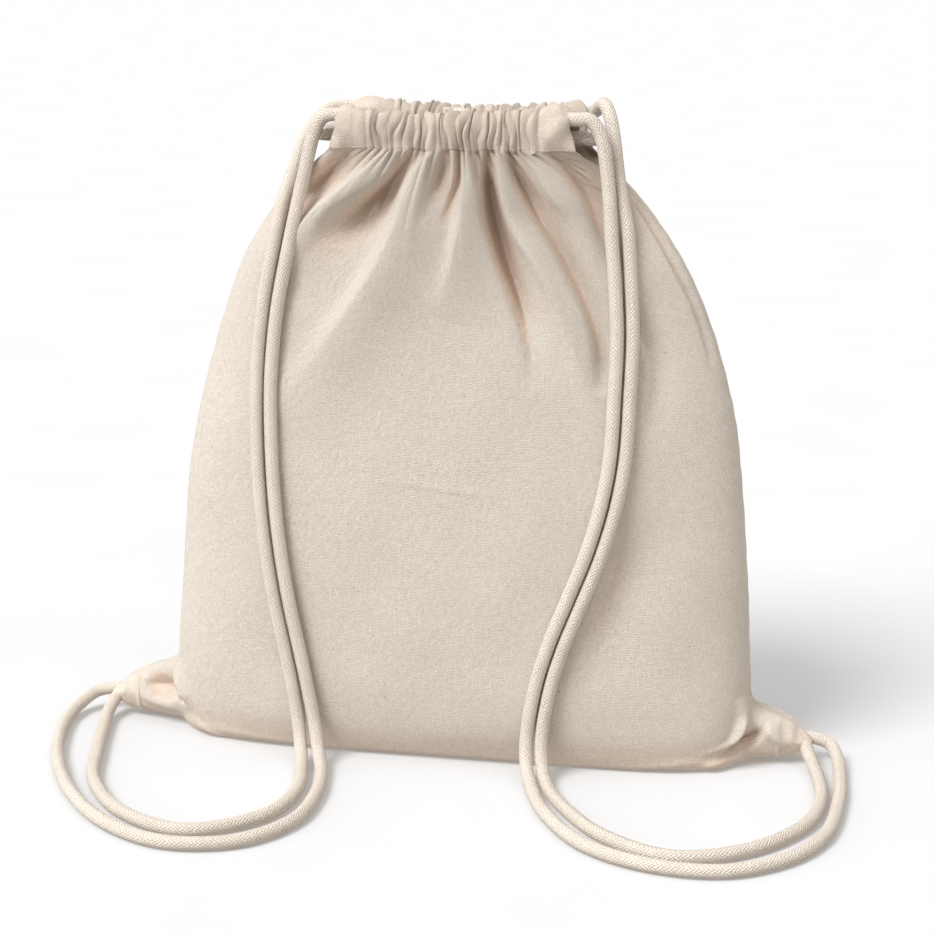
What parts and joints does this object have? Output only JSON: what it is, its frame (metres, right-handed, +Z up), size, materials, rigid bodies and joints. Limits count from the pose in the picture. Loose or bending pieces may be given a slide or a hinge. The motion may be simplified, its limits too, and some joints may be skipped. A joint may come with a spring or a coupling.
{
  "type": "drawstring backpack",
  "caption": "Cotton canvas drawstring backpack standing upright, its gathered mouth drawn shut on two braided cords that return to sewn bottom corners.",
  "frame": {"origin": "on the ground under the middle of the sack's box, cords left out", "axes": "+X to the viewer's right along the bottom from corner to corner, +Y from the front panel to the back panel, +Z up"},
  "size_m": [0.4109, 0.2173, 0.3287],
  "materials": {
    "canvas": "unbleached plain-weave cotton canvas",
    "cord": "unbleached braided cotton",
    "thread": "matt cotton sewing thread"
  },
  "bodies": {
    "sack": {"front_panel": "canvas", "back_panel": "canvas", "left_side_seam": "canvas", "right_side_seam": "canvas", "bottom_seam": "canvas", "left_corner_bartack": "thread", "right_corner_bartack": "thread", "back_casing": "canvas", "back_casing_stitching": "thread", "left_cord": "cord", "right_cord": "cord"},
    "front_lip": {"front_casing": "canvas", "front_casing_stitching": "thread"}
  },
  "joints": [
    {"name": "front_lip_hinge", "type": "hinge", "parent": "sack", "child": "front_lip", "pos_m": [0.0045, -0.025, 0.30675], "axis": [1, 0, 0], "range_deg": [0, 25], "deforming": ["left_cord", "right_cord"]}
  ]
}
